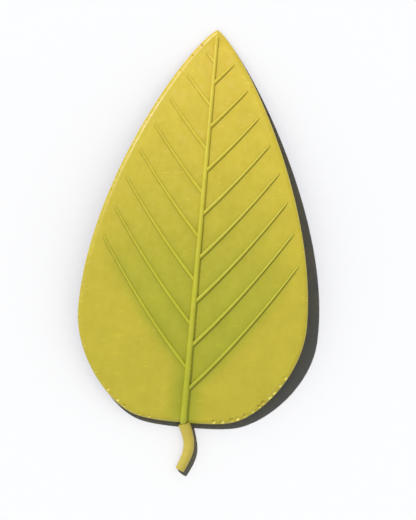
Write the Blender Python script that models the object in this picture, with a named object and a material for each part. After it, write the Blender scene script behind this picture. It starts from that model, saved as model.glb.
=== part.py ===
"""A broad ovate leaf, picked and lying face up.

One closed body: an arched blade with a round margin, a raised midrib, side veins that leave it in
turn on the left and the right, and a short curved stalk with a flat cut end.  Metres, +Z up.
The tip points along +Y, and the leaf rests on Z = 0 on its tip and its stalk.
"""

import bpy
import bmesh
import math
from mathutils import Vector
from mathutils.geometry import interpolate_bezier

MM = 0.001

# Blade outline, right half, with Y = 0 where the stalk meets the blade
BASE_Y = 0.35 * MM                  # the nearly straight base margin, on the centre line
BASE_HANDLE = 16.0 * MM             # how far it runs level
HEEL = (25.5 * MM, 2.7 * MM)        # where it turns up into the broad base corner
HEEL_ANGLE = math.radians(19.0)
HEEL_HANDLE_IN = 4.0 * MM
HEEL_HANDLE_OUT = 15.0 * MM
HALF_WIDTH = 58.1 * MM
WIDEST_Y = 54.0 * MM
WIDEST_HANDLE_DOWN = 23.6 * MM      # how far the broad base corner reaches up
WIDEST_HANDLE_UP = 63.3 * MM
TIP_Y = 200.3 * MM
TIP_HANDLE = (14.7 * MM, 191.4 * MM)

# Blade section and arch
THICKNESS = 3.2 * MM
MARGIN_ROUNDING = 1.9 * MM          # width of the round shoulder along the margin
ARCH_HEIGHTS = (3.8 * MM, 19.4 * MM, 14.8 * MM, 0.0)   # Bezier ordinates, base to tip
MARGIN_DROOP = 1.0 * MM             # how much lower the widest margin is than the midrib
TIP_LANDING = 0.4 * MM              # how softly the arch runs out onto the surface at the tip

# Midrib
MIDRIB_START_Y = -0.3 * MM
MIDRIB_END_Y = 197.2 * MM
MIDRIB_RADIUS_BASE = 1.65 * MM
MIDRIB_RADIUS_TIP = 0.8 * MM

# Side veins, as distance a from the midrib: y = root + VEIN_RISE * a + VEIN_CURL * a * a
VEINS_PER_SIDE = 8
VEIN_PITCH = 22.3 * MM
FIRST_ROOT_RIGHT = 16.6 * MM
FIRST_ROOT_LEFT = 27.5 * MM
VEIN_RISE = 1.069
VEIN_CURL = 5.1                     # per metre
VEIN_GAP_RIGHT = 3.8 * MM           # a vein stops this far inside the margin
VEIN_GAP_LEFT = 5.4 * MM
VEIN_RADIUS_ROOT = 1.0 * MM
VEIN_RADIUS_END = 0.5 * MM
RIB_LIFT = 0.6                      # centre of a rib above the blade's skin, in rib radii

# Stalk, lying on the surface
STALK_RADIUS_TOP = 3.05 * MM
STALK_RADIUS_CUT = 2.35 * MM
STALK_TOP = (0.4 * MM, 0.0)
STALK_TOP_HANDLE = (5.1 * MM, -10.5 * MM)
STALK_CUT_HANDLE = (4.9 * MM, -13.3 * MM)
STALK_CUT = (0.2 * MM, -23.8 * MM)
STALK_RISE = 0.5 * MM               # the stalk lifts this much where it joins the blade
STALK_SIDES = 12

# Mesh fineness
ROWS = 48
COLUMNS = 16
ROW_CROWDING = 0.6                  # rows stand closer at the base and the tip
COLUMN_CROWDING = 2.6               # columns stand closer towards the margin
OUTLINE_SAMPLES = 120
MIDRIB_POINTS = 20
VEIN_POINTS = 6
STALK_POINTS = 10
ROW_SPREAD = 1.25                   # keeps the rows level where the base margin runs sideways

LEAF_COLOR = (0.56, 0.44, 0.045, 1.0)
LEAF_ROUGHNESS = 0.5


def clear_scene():
    for old in list(bpy.data.objects):
        bpy.data.objects.remove(old, do_unlink=True)


def new_collection(name):
    collection = bpy.data.collections.new(name)
    bpy.context.scene.collection.children.link(collection)
    return collection


def leaf_material():
    material = bpy.data.materials.new("leaf_tissue")
    material.use_nodes = True
    shader = material.node_tree.nodes["Principled BSDF"]
    shader.inputs["Base Color"].default_value = LEAF_COLOR
    shader.inputs["Roughness"].default_value = LEAF_ROUGHNESS
    material.diffuse_color = LEAF_COLOR
    return material


def half_outline():
    """Right half of the margin as points (x, y) from the base centre to the tip."""
    base = Vector((0.0, BASE_Y))
    widest = Vector((HALF_WIDTH, WIDEST_Y))
    tip = Vector((0.0, TIP_Y))
    down = Vector((HALF_WIDTH, WIDEST_Y - WIDEST_HANDLE_DOWN))
    up = Vector((HALF_WIDTH, WIDEST_Y + WIDEST_HANDLE_UP))
    heel = Vector(HEEL)
    turn = Vector((math.cos(HEEL_ANGLE), math.sin(HEEL_ANGLE)))
    level = base + Vector((BASE_HANDLE, 0.0))
    foot = interpolate_bezier(base, level, heel - HEEL_HANDLE_IN * turn, heel, OUTLINE_SAMPLES)
    corner = interpolate_bezier(heel, heel + HEEL_HANDLE_OUT * turn, down, widest, OUTLINE_SAMPLES)
    upper = interpolate_bezier(widest, up, Vector(TIP_HANDLE), tip, OUTLINE_SAMPLES)
    return foot + corner[1:] + upper[1:]


def at_shares(points, shares):
    """The places at these shares of a polyline's length."""
    reach = [0.0]
    for a, b in zip(points, points[1:]):
        reach.append(reach[-1] + (b - a).length)
    picked = []
    span = 0
    for share in shares:
        target = reach[-1] * share
        while span < len(points) - 2 and reach[span + 1] < target:
            span += 1
        part = (target - reach[span]) / (reach[span + 1] - reach[span])
        picked.append(points[span].lerp(points[span + 1], min(max(part, 0.0), 1.0)))
    return picked


def soft_floor(height, floor, softness):
    """The larger of height and floor, with the corner between them rounded."""
    gap = softness - abs(height - floor)
    if gap <= 0.0:
        return max(height, floor)
    return max(height, floor) + gap * gap / (4.0 * softness)


def blade_height(x, y):
    """Height of the blade's middle surface: arched along its length, drooping a little sideways."""
    t = min(max((y - BASE_Y) / (TIP_Y - BASE_Y), 0.0), 1.0)
    s = 1.0 - t
    z0, z1, z2, z3 = ARCH_HEIGHTS
    arch = s * s * s * z0 + 3.0 * s * s * t * z1 + 3.0 * s * t * t * z2 + t * t * t * z3
    droop = MARGIN_DROOP * (x / HALF_WIDTH) ** 2
    return soft_floor(arch - droop, THICKNESS / 2.0, TIP_LANDING)


def row_share(row):
    """Share of the margin below this row: rows crowd at both ends."""
    share = row / ROWS
    return share - ROW_CROWDING * math.sin(2.0 * math.pi * share) / (2.0 * math.pi)


def half_thickness(depth):
    """Half the blade's thickness this far inside the margin: a quarter ellipse, then level."""
    inward = min(depth / MARGIN_ROUNDING, 1.0)
    return THICKNESS / 2.0 * math.sqrt(inward * (2.0 - inward))


def make_blade(outline, collection):
    """The blade: a grid drawn to the outline, arched, with an upper and a lower skin."""
    skin = bmesh.new()
    bmesh.ops.create_grid(skin, x_segments=COLUMNS, y_segments=ROWS, size=1.0)
    shares = [row_share(row) for row in range(ROWS + 1)]
    margin = at_shares(outline, shares)
    half = {}
    for vert in skin.verts:
        row = round((vert.co.y + 1.0) / 2.0 * ROWS)
        inner = max(1.0 - abs(vert.co.x), 0.0)
        side = math.copysign(1.0 - inner ** COLUMN_CROWDING, vert.co.x)
        centre_y = BASE_Y + (TIP_Y - BASE_Y) * shares[row] ** ROW_SPREAD
        x = side * margin[row].x
        y = centre_y + (margin[row].y - centre_y) * abs(side)
        on_margin = inner < 0.0001 or row in (0, ROWS)
        here = Vector((abs(x), y))
        depth = 0.0 if on_margin else min((here - point).length for point in outline)
        half[vert] = half_thickness(depth)
        vert.co = (x, y, blade_height(x, y))
    lower = bmesh.ops.duplicate(skin, geom=skin.verts[:] + skin.edges[:] + skin.faces[:])
    for upper_vert, height in half.items():
        lower["vert_map"][upper_vert].co.z -= height
        upper_vert.co.z += height
    bmesh.ops.remove_doubles(skin, verts=skin.verts, dist=0.000001)
    bmesh.ops.recalc_face_normals(skin, faces=skin.faces)
    mesh = bpy.data.meshes.new("leaf")
    skin.to_mesh(mesh)
    skin.free()
    mesh.shade_smooth()
    blade = bpy.data.objects.new("leaf", mesh)
    collection.objects.link(blade)
    return blade


def solid_tube(name, points, radii, sides, tilt, collection):
    """A closed tube along points, made from a curve and turned into a welded mesh."""
    curve = bpy.data.curves.new(name, "CURVE")
    curve.dimensions = "3D"
    curve.twist_mode = "Z_UP"
    curve.bevel_depth = 1.0
    curve.bevel_resolution = (sides - 4) // 2
    curve.use_fill_caps = True
    spline = curve.splines.new("POLY")
    spline.points.add(len(points) - 1)
    for knot, place, radius in zip(spline.points, points, radii):
        knot.co = (place.x, place.y, place.z, 1.0)
        knot.radius = radius
        knot.tilt = tilt
    drawn = bpy.data.objects.new(name + "_path", curve)
    collection.objects.link(drawn)
    bpy.context.view_layer.update()
    graph = bpy.context.evaluated_depsgraph_get()
    mesh = bpy.data.meshes.new_from_object(drawn.evaluated_get(graph))
    weld = bmesh.new()
    weld.from_mesh(mesh)
    bmesh.ops.remove_doubles(weld, verts=weld.verts, dist=0.00001)
    bmesh.ops.recalc_face_normals(weld, faces=weld.faces)
    weld.to_mesh(mesh)
    weld.free()
    tube = bpy.data.objects.new(name, mesh)
    tube.matrix_world = drawn.matrix_world.copy()
    tube.hide_render = True
    tube.display_type = "WIRE"
    collection.objects.link(tube)
    bpy.data.objects.remove(drawn, do_unlink=True)
    return tube


def tapered(start, end, count):
    return [start + (end - start) * i / (count - 1) for i in range(count)]


def on_blade(x, y, radius):
    """Centre of a rib of this radius that stands on the blade's upper skin."""
    return Vector((x, y, blade_height(x, y) + THICKNESS / 2.0 + RIB_LIFT * radius))


def make_midrib(collection):
    radii = tapered(MIDRIB_RADIUS_BASE, MIDRIB_RADIUS_TIP, MIDRIB_POINTS)
    stations = tapered(MIDRIB_START_Y, MIDRIB_END_Y, MIDRIB_POINTS)
    points = [on_blade(0.0, y, radius) for y, radius in zip(stations, radii)]
    return solid_tube("midrib", points, radii, 8, 0.0, collection)


def vein_reach(root_y, outline, margin_gap):
    """How far from the midrib a vein runs before it comes within margin_gap of the margin."""
    reach = 0.0
    step = 0.25 * MM
    while True:
        end = Vector((reach, root_y + VEIN_RISE * reach + VEIN_CURL * reach * reach))
        if min((end - point).length for point in outline) < margin_gap:
            return reach
        reach += step


def make_vein(name, side, root_y, outline, collection):
    reach = vein_reach(root_y, outline, VEIN_GAP_RIGHT if side > 0.0 else VEIN_GAP_LEFT)
    radii = tapered(VEIN_RADIUS_ROOT, VEIN_RADIUS_END, VEIN_POINTS)
    points = []
    for out, radius in zip(tapered(0.0, reach, VEIN_POINTS), radii):
        y = root_y + VEIN_RISE * out + VEIN_CURL * out * out
        points.append(on_blade(side * out, y, radius))
    return solid_tube(name, points, radii, 6, 0.0, collection)


def make_stalk(collection):
    ends = [Vector(end) for end in (STALK_TOP, STALK_TOP_HANDLE, STALK_CUT_HANDLE, STALK_CUT)]
    path = interpolate_bezier(*ends, STALK_POINTS)
    radii = tapered(STALK_RADIUS_TOP, STALK_RADIUS_CUT, STALK_POINTS)
    flat_side = math.cos(math.pi / STALK_SIDES)     # from the centre to a flat, per radius
    points = []
    for place, radius in zip(path, radii):
        near_blade = max(0.0, 1.0 - place.y / (STALK_CUT[1] * 0.4))
        points.append(Vector((place.x, place.y, radius * flat_side + STALK_RISE * near_blade ** 2)))
    return solid_tube("stalk", points, radii, STALK_SIDES, math.pi / STALK_SIDES, collection)


def lengthwise_middle(thing):
    graph = bpy.context.evaluated_depsgraph_get()
    shape = thing.evaluated_get(graph).to_mesh()
    reach = [vert.co.y for vert in shape.vertices]
    return (min(reach) + max(reach)) / 2.0


def main():
    clear_scene()
    leaf_parts = new_collection("ovate_leaf")
    ribs = new_collection("joined_ribs")
    outline = half_outline()
    leaf = make_blade(outline, leaf_parts)
    leaf.data.materials.append(leaf_material())
    make_midrib(ribs)
    for number in range(VEINS_PER_SIDE):
        rise = VEIN_PITCH * number
        make_vein(f"vein_right_{number + 1}", 1.0, FIRST_ROOT_RIGHT + rise, outline, ribs)
        make_vein(f"vein_left_{number + 1}", -1.0, FIRST_ROOT_LEFT + rise, outline, ribs)
    make_stalk(ribs)
    join = leaf.modifiers.new("one_body", "BOOLEAN")
    join.operation = "UNION"
    join.solver = "EXACT"
    join.operand_type = "COLLECTION"
    join.collection = ribs
    bpy.context.view_layer.update()

    frame = bpy.data.objects.new("rest_frame", None)
    leaf_parts.objects.link(frame)
    for piece in [leaf, *ribs.objects]:
        piece.parent = frame
    frame.location = (0.0, -lengthwise_middle(leaf), 0.0)
    bpy.context.view_layer.update()


main()
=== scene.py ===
"""A picked ovate leaf, lying face up: blade, midrib, side veins, stalk, and a plain studio floor."""

import math

import bpy
import bmesh
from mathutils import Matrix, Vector
from mathutils.geometry import interpolate_bezier


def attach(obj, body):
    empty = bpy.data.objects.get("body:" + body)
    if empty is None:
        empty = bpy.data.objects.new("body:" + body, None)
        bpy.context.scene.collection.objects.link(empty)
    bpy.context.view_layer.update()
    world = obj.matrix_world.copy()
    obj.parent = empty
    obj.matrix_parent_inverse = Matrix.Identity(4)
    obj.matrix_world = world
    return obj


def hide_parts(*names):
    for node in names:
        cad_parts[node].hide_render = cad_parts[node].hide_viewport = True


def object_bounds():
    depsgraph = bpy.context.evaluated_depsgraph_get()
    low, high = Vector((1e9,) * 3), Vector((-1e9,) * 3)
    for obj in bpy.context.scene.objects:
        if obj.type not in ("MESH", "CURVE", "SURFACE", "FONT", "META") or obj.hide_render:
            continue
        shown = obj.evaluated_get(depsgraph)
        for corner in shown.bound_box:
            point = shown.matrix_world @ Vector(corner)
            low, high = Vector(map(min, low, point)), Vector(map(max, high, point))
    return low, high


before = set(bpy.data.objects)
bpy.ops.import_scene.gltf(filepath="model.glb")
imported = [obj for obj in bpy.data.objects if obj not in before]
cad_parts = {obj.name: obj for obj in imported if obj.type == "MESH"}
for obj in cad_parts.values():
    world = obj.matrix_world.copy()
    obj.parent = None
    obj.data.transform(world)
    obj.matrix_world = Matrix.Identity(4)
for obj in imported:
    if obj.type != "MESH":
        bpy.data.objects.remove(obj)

bl_info = {
    "name": "Picked Leaf",
    "version": (1, 0, 0),
    "blender": (4, 5, 0),
    "location": "View3D > Sidebar > Picked Leaf",
    "description": "Builds a broad ovate leaf with raised ribs, and a studio to show it in",
    "category": "Add Mesh",
}

MM = 0.001
BODY = "root"
NODE = "leaf"

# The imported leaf's box sets the places: the tip is its far end, the floor its low side
CAD_LOW, CAD_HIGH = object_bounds()
BLADE_LENGTH = 200.3 * MM
BASE_Y = CAD_HIGH.y - BLADE_LENGTH      # world Y of the point where the stalk meets the blade

# Each row of dents: side, and the shares of the half margin, base to tip, that it runs between
DENT_ROWS = {
    "Lower Right": (1.0, 0.055, 0.25),
    "Lower Left": (-1.0, 0.06, 0.18),
    "Upper Right": (1.0, 0.27, 0.93),
    "Upper Left": (-1.0, 0.20, 0.90),
    "Tip": (-1.0, 0.913, 0.969),
}


def length_prop(name, value, description):
    return bpy.props.FloatProperty(
        name=name, description=description, default=value, subtype="DISTANCE", unit="LENGTH", precision=5
    )


def number_prop(name, value, description):
    return bpy.props.FloatProperty(name=name, description=description, default=value, precision=4)


def count_prop(name, value, description):
    return bpy.props.IntProperty(name=name, description=description, default=value, min=1)


def colour_prop(name, value, description):
    return bpy.props.FloatVectorProperty(
        name=name, description=description, default=value, subtype="COLOR", size=3, min=0.0, max=1.0
    )


class PickedLeafShape(bpy.types.PropertyGroup):
    """Outline, section and arch of the blade, in metres from the foot of the blade."""

    half_width: length_prop("Half width", 58.1 * MM, "From the midrib to the widest margin")
    widest_at: length_prop("Widest at", 54.0 * MM, "How far up the blade the widest place is")
    base_margin: length_prop("Base margin", 0.35 * MM, "Where the base margin crosses the midrib")
    base_reach: length_prop("Base reach", 16.0 * MM, "How far the base margin runs level")
    heel_out: length_prop("Heel sideways", 25.5 * MM, "Where the base margin turns up, sideways")
    heel_up: length_prop("Heel up", 2.7 * MM, "Where the base margin turns up, lengthwise")
    heel_angle: bpy.props.FloatProperty(
        name="Heel angle", description="Slope of the base margin where it turns up",
        default=math.radians(19.0), subtype="ANGLE"
    )
    heel_pull_in: length_prop("Heel pull in", 4.0 * MM, "Pull of the turn towards the midrib")
    heel_pull_out: length_prop("Heel pull out", 15.0 * MM, "Pull of the turn towards the side")
    corner_pull: length_prop("Corner pull", 23.6 * MM, "Roundness of the broad base corners")
    shoulder_pull: length_prop("Shoulder pull", 63.3 * MM, "Fullness of the sides above the widest place")
    tip_pull_out: length_prop("Tip pull out", 14.7 * MM, "Sideways pull of the margin below the tip")
    tip_pull_down: length_prop("Tip pull down", 8.9 * MM, "Downward pull of the margin below the tip")
    thickness: length_prop("Thickness", 3.2 * MM, "Thickness of the blade")
    rounding: length_prop("Edge rounding", 2.3 * MM, "Width of the round shoulder along the margin")
    arch_base: length_prop("Arch at base", 3.8 * MM, "Height of the blade's middle at its base")
    arch_rise: length_prop("Arch rise", 19.4 * MM, "Pull of the arch in the lower half")
    arch_fall: length_prop("Arch fall", 14.8 * MM, "Pull of the arch in the upper half")
    arch_tip: length_prop("Arch at tip", 0.0, "Height that the arch heads for at the tip")
    droop: length_prop("Margin droop", 1.0 * MM, "How much lower the widest margin is than the midrib")
    landing: length_prop("Tip landing", 0.9 * MM, "How softly the tip runs out onto the floor")
    unevenness: length_prop("Unevenness", 0.22 * MM, "Height of the slight waves in the blade")
    rows: count_prop("Rows", 260, "Rows of faces from base to tip")
    columns: count_prop("Columns", 96, "Columns of faces from margin to margin")


class PickedLeafMargin(bpy.types.PropertyGroup):
    """Dents and notches along the shoulder of the margin."""

    lower_right: count_prop("Dents lower right", 12, "Dents along the lower right margin")
    lower_left: count_prop("Dents lower left", 5, "Dents along the lower left margin")
    upper_right: count_prop("Dents upper right", 13, "Small dents along the rest of the right margin")
    upper_left: count_prop("Dents upper left", 26, "Small dents along the rest of the left margin")
    tip_notches: count_prop("Tip notches", 2, "Narrow notches just left of the tip")
    length: length_prop("Dent length", 2.3 * MM, "Length of a dent along the margin")
    width: length_prop("Dent width", 2.8 * MM, "Width of a dent across the margin")
    depth: length_prop("Dent depth", 1.0 * MM, "Depth of a dent")
    inset: length_prop("Dent inset", 1.0 * MM, "How far inside the margin the dents' middles lie")
    small: number_prop("Small dents", 0.36, "Size of the small dents beside the full ones")
    faint: number_prop("Faint dents", 0.7, "Size of the lower left dents beside the full ones")
    notch_length: length_prop("Notch width", 0.8 * MM, "Width of a notch along the margin")
    notch_depth: length_prop("Notch depth", 0.9 * MM, "Depth of a notch")
    notch_inset: length_prop("Notch inset", 0.6 * MM, "How far inside the margin the notches' middles lie")
    seed: count_prop("Seed", 7, "Varies the dents")


class PickedLeafRibs(bpy.types.PropertyGroup):
    """The midrib and the side veins."""

    midrib_from: length_prop("Midrib from", 0.5 * MM, "Where the midrib starts")
    midrib_to: length_prop("Midrib to", 197.2 * MM, "Where the midrib ends")
    midrib_radius: length_prop("Midrib radius", 1.65 * MM, "Radius of the midrib at its foot")
    midrib_end_radius: length_prop("Midrib end radius", 0.8 * MM, "Radius of the midrib near the tip")
    veins_per_side: count_prop("Veins per side", 8, "Side veins on each side of the midrib")
    pitch: length_prop("Vein pitch", 22.3 * MM, "Step between veins along the midrib")
    first_right: length_prop("First right vein", 16.6 * MM, "Root of the lowest vein on the right")
    first_left: length_prop("First left vein", 27.5 * MM, "Root of the lowest vein on the left")
    rise: number_prop("Vein rise", 1.069, "Rise of a vein for each step outwards, at its root")
    curl: number_prop("Vein curl", 5.1, "How a vein turns upwards, per metre")
    gap_right: length_prop("Right gap", 3.8 * MM, "Distance from the right veins' ends to the margin")
    gap_left: length_prop("Left gap", 5.4 * MM, "Distance from the left veins' ends to the margin")
    vein_radius: length_prop("Vein radius", 0.9 * MM, "Radius of a side vein at its root")
    vein_end_radius: length_prop("Vein end radius", 0.42 * MM, "Radius of a side vein at its end")
    lift: number_prop("Rib lift", 0.74, "Height of a rib's middle above the skin, in rib radii")
    flare: number_prop("Rib flare", 0.35, "How much a rib spreads where it meets the skin")


class PickedLeafStalk(bpy.types.PropertyGroup):
    """The short, thick, curved stalk."""

    top_radius: length_prop("Top radius", 3.05 * MM, "Radius of the stalk where it meets the blade")
    cut_radius: length_prop("Cut radius", 2.35 * MM, "Radius of the stalk at its cut end")
    top_x: length_prop("Top sideways", 0.4 * MM, "Sideways place of the stalk's top")
    top_pull_x: length_prop("Top pull sideways", 5.1 * MM, "Sideways pull below the top")
    top_pull_y: length_prop("Top pull down", -10.5 * MM, "Lengthwise pull below the top")
    cut_pull_x: length_prop("Cut pull sideways", 4.9 * MM, "Sideways pull above the cut end")
    cut_pull_y: length_prop("Cut pull up", -13.3 * MM, "Lengthwise pull above the cut end")
    cut_x: length_prop("Cut sideways", 0.2 * MM, "Sideways place of the cut end")
    cut_y: length_prop("Cut end", -23.8 * MM, "Lengthwise place of the cut end")
    lift: length_prop("Top lift", 0.5 * MM, "How far the top of the stalk is off the floor")
    easing: length_prop("Edge easing", 0.3 * MM, "Rounding of the edges of the stalk's ends")


class PickedLeafColours(bpy.types.PropertyGroup):
    """Colours of the tissue."""

    foot_yellow: colour_prop("Foot yellow", (0.535, 0.453, 0.034), "The blade near its foot")
    lower_yellow: colour_prop("Lower yellow", (0.548, 0.457, 0.033), "The lower third of the blade")
    upper_yellow: colour_prop("Upper yellow", (0.615, 0.492, 0.034), "The upper third of the blade")
    tip_yellow: colour_prop("Tip yellow", (0.712, 0.530, 0.046), "The tip")
    rib_green: colour_prop("Rib green", (0.393, 0.402, 0.022), "Beside the ribs in the lower half")
    rib_foot: colour_prop("Rib foot", (0.445, 0.462, 0.024), "The ribs near the foot of the blade")
    rib_middle: colour_prop("Rib middle", (0.540, 0.512, 0.030), "The ribs halfway up the blade")
    rib_tip: colour_prop("Rib tip", (0.720, 0.565, 0.048), "The ribs near the tip")
    dry_margin: colour_prop("Dry margin", (0.800, 0.560, 0.170), "Dry spots by the left margin and the tip")
    # Painted highlight: a pale colour that makes the walls of the dents look lit
    dent_highlight: colour_prop("Dent highlight", (0.820, 0.720, 0.140), "Pale tissue inside the dents of the margin")
    stalk_tan: colour_prop("Stalk", (0.570, 0.455, 0.066), "The stalk")
    stalk_fleck: colour_prop("Stalk flecks", (0.400, 0.310, 0.045), "Darker flecks in the stalk")


class PickedLeafStage(bpy.types.PropertyGroup):
    """Floor, lights and camera."""

    floor_size: length_prop("Floor size", 6.0, "Side of the square floor")
    floor_colour: colour_prop("Floor", (0.9, 0.9, 0.9), "Pale floor")
    # Painted shade: how much of each channel the floor's colour loses close to the leaf
    contact: colour_prop("Contact shade", (0.60, 0.59, 0.44), "What the floor loses close to the leaf")
    contact_reach: length_prop("Contact reach", 110.0 * MM, "How far that darkening reaches")
    key_strength: number_prop("Key on floor", 4.0, "Strength of the key light on the floor")
    leaf_key_strength: number_prop("Key on leaf", 1.6, "Strength of the same light on the leaf")
    key_elevation: bpy.props.FloatProperty(
        name="Key elevation", description="Height of the key light above the horizon",
        default=math.radians(51.3), subtype="ANGLE"
    )
    key_heading: bpy.props.FloatProperty(
        name="Key heading", description="Turn of the key light's shadow from straight right, clockwise",
        default=math.radians(53.1), subtype="ANGLE"
    )
    key_angle: bpy.props.FloatProperty(
        name="Key softness", description="Angular size of the key light",
        default=math.radians(1.5), subtype="ANGLE"
    )
    room_light: number_prop("Room light", 0.115, "Strength of the even light from all round")
    room_colour: colour_prop("Room colour", (0.84, 0.89, 1.0), "Colour of the even light")
    fill_strength: number_prop("Leaf fill", 1.89, "Broad overhead light that reaches only the leaf")
    camera_turn: bpy.props.FloatProperty(
        name="Camera turn", description="Turn of the camera about its line of sight",
        default=math.radians(5.013), subtype="ANGLE"
    )
    camera_x: length_prop("Camera sideways", 5.3 * MM, "Where the view is centred, sideways")
    camera_y: length_prop("Camera lengthwise", -4.23 * MM, "Where the view is centred, lengthwise")
    view_height: length_prop("View height", 263.28 * MM, "Height of the picture at the leaf")
    lens: number_prop("Lens", 400.0, "Focal length in millimetres; long, so the view is nearly parallel")


# ---------------------------------------------------------------------------------------------
# Node helpers
# ---------------------------------------------------------------------------------------------

def add(tree, kind, **settings):
    node = tree.nodes.new(kind)
    for name, value in settings.items():
        setattr(node, name, value)
    return node


def feed(tree, socket, value):
    """Links a socket to value if value is an output, else stores it as the socket's own value."""
    if isinstance(value, bpy.types.NodeSocket):
        tree.links.new(value, socket)
    else:
        socket.default_value = value


def calc(tree, operation, *values, clamp=False):
    node = add(tree, "ShaderNodeMath", operation=operation, use_clamp=clamp)
    for socket, value in zip(node.inputs, values):
        feed(tree, socket, value)
    return node.outputs[0]


def product(tree, first, *others):
    for value in others:
        first = calc(tree, "MULTIPLY", first, value)
    return first


def total(tree, first, *others):
    for value in others:
        first = calc(tree, "ADD", first, value)
    return first


def difference(tree, whole, part, clamp=False):
    return calc(tree, "SUBTRACT", whole, part, clamp=clamp)


def vector_calc(tree, operation, *values):
    node = add(tree, "ShaderNodeVectorMath", operation=operation)
    for socket, value in zip(node.inputs, values):
        feed(tree, socket, value)
    return node.outputs["Value"] if operation == "LENGTH" else node.outputs[0]


def scale_vector(tree, vector, factor):
    node = add(tree, "ShaderNodeVectorMath", operation="SCALE")
    feed(tree, node.inputs[0], vector)
    feed(tree, node.inputs["Scale"], factor)
    return node.outputs[0]


def split(tree, vector):
    node = add(tree, "ShaderNodeSeparateXYZ")
    feed(tree, node.inputs[0], vector)
    return node.outputs


def combine(tree, x, y, z):
    node = add(tree, "ShaderNodeCombineXYZ")
    for socket, value in zip(node.inputs, (x, y, z)):
        feed(tree, socket, value)
    return node.outputs[0]


def blend_numbers(tree, factor, a, b):
    """a where factor is 0, b where it is 1."""
    return total(tree, a, product(tree, factor, difference(tree, b, a)))


def ramp_number(tree, value, low, high, to_low=0.0, to_high=1.0, smooth=True):
    node = add(tree, "ShaderNodeMapRange", interpolation_type="SMOOTHSTEP" if smooth else "LINEAR")
    for name, number in (("Value", value), ("From Min", low), ("From Max", high),
                         ("To Min", to_low), ("To Max", to_high)):
        feed(tree, node.inputs[name], number)
    return node.outputs["Result"]


def either_way(tree, fraction, amount):
    """Turns a fraction about 0.5 into a number about 0, stretched by the amount."""
    return product(tree, difference(tree, fraction, 0.5), amount)


def quarter_round(tree, distance, reach):
    """Climbs from 0 to 1 over the reach like a quarter of a circle: steep first, level at the end."""
    short = difference(tree, 1.0, calc(tree, "DIVIDE", distance, reach, clamp=True))
    return calc(tree, "SQRT", difference(tree, 1.0, product(tree, short, short), clamp=True))


def spread_out(tree):
    """Lays the nodes out in rows."""
    for number, node in enumerate(tree.nodes):
        node.location = (200.0 * (number % 16), -280.0 * (number // 16))


def new_sockets(tree, in_out, sockets):
    """Gives a tree named inputs or outputs: (name, socket type, default value)."""
    for label, kind, default in sockets:
        socket = tree.interface.new_socket(name=label, in_out=in_out, socket_type=kind)
        if default is not None:
            socket.default_value = default


def new_geometry_tree(name, inputs):
    """An empty geometry tree with these named inputs."""
    tree = bpy.data.node_groups.new(name, "GeometryNodeTree")
    tree.is_modifier = True
    new_sockets(tree, "INPUT", inputs)
    new_sockets(tree, "OUTPUT", [("Geometry", "NodeSocketGeometry", None)])
    start = add(tree, "NodeGroupInput")
    return tree, {socket.name: socket for socket in start.outputs if socket.name}


def finish_tree(tree, geometry, material):
    """Realize Instances, Set Material and the output."""
    real = add(tree, "GeometryNodeRealizeInstances")
    feed(tree, real.inputs["Geometry"], geometry)
    paint = add(tree, "GeometryNodeSetMaterial")
    feed(tree, paint.inputs["Geometry"], real.outputs["Geometry"])
    feed(tree, paint.inputs["Material"], material)
    end = add(tree, "NodeGroupOutput")
    feed(tree, end.inputs["Geometry"], paint.outputs["Geometry"])
    spread_out(tree)


def grow(name, tree, values):
    """Runs a geometry tree with these input values and returns the plain mesh object it makes."""
    host = bpy.data.objects.new(name + "_host", bpy.data.meshes.new(name + "_host"))
    bpy.context.scene.collection.objects.link(host)
    modifier = host.modifiers.new(name, "NODES")
    modifier.node_group = tree
    sockets = {item.name: item.identifier for item in tree.interface.items_tree
               if item.item_type == "SOCKET" and item.in_out == "INPUT"}
    for label, value in values.items():
        modifier[sockets[label]] = value
    host.update_tag()
    bpy.context.view_layer.update()
    graph = bpy.context.evaluated_depsgraph_get()
    mesh = bpy.data.meshes.new_from_object(host.evaluated_get(graph))
    mesh.name = name
    bpy.data.objects.remove(host, do_unlink=True)
    if not mesh.polygons:
        raise RuntimeError(f"{name}: the geometry tree made no faces")
    piece = bpy.data.objects.new(name, mesh)
    bpy.context.scene.collection.objects.link(piece)
    mesh.shade_smooth()
    return piece


def show_as_leaf(piece):
    """The piece moves with the leaf's body and stands for its solid."""
    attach(piece, BODY)
    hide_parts(NODE)


def guide_curve(name, splines):
    """A hidden curve object made of straight-sided splines."""
    curve = bpy.data.curves.new(name, "CURVE")
    curve.dimensions = "3D"
    for points in splines:
        spline = curve.splines.new("POLY")
        spline.points.add(len(points) - 1)
        for knot, place in zip(spline.points, points):
            knot.co = (place.x, place.y, place.z, 1.0)
    guide = bpy.data.objects.new(name, curve)
    guide.hide_render = True
    bpy.context.scene.collection.objects.link(guide)
    return guide


def drop(guide):
    bpy.data.objects.remove(guide, do_unlink=True)


# ---------------------------------------------------------------------------------------------
# Outline and paths
# ---------------------------------------------------------------------------------------------

OUTLINE_STEPS = 300
VEIN_STEP = 0.25 * MM
LIFTED_SHARE = 0.4          # the part of the stalk, from its top, that rises towards the blade


def margin_points(shape):
    """Right half of the margin, from the base to the tip, on the floor plane."""
    def place(x, y):
        return Vector((x, BASE_Y + y, 0.0))
    wide, at = shape.half_width, shape.widest_at
    heel = place(shape.heel_out, shape.heel_up)
    slope = Vector((math.cos(shape.heel_angle), math.sin(shape.heel_angle), 0.0))
    foot = interpolate_bezier(
        place(0.0, shape.base_margin), place(shape.base_reach, shape.base_margin),
        heel - shape.heel_pull_in * slope, heel, OUTLINE_STEPS)
    corner = interpolate_bezier(
        heel, heel + shape.heel_pull_out * slope, place(wide, at - shape.corner_pull), place(wide, at),
        OUTLINE_STEPS)
    upper = interpolate_bezier(
        place(wide, at), place(wide, at + shape.shoulder_pull),
        place(shape.tip_pull_out, BLADE_LENGTH - shape.tip_pull_down), place(0.0, BLADE_LENGTH),
        OUTLINE_STEPS)
    return foot + corner[1:] + upper[1:]


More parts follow.
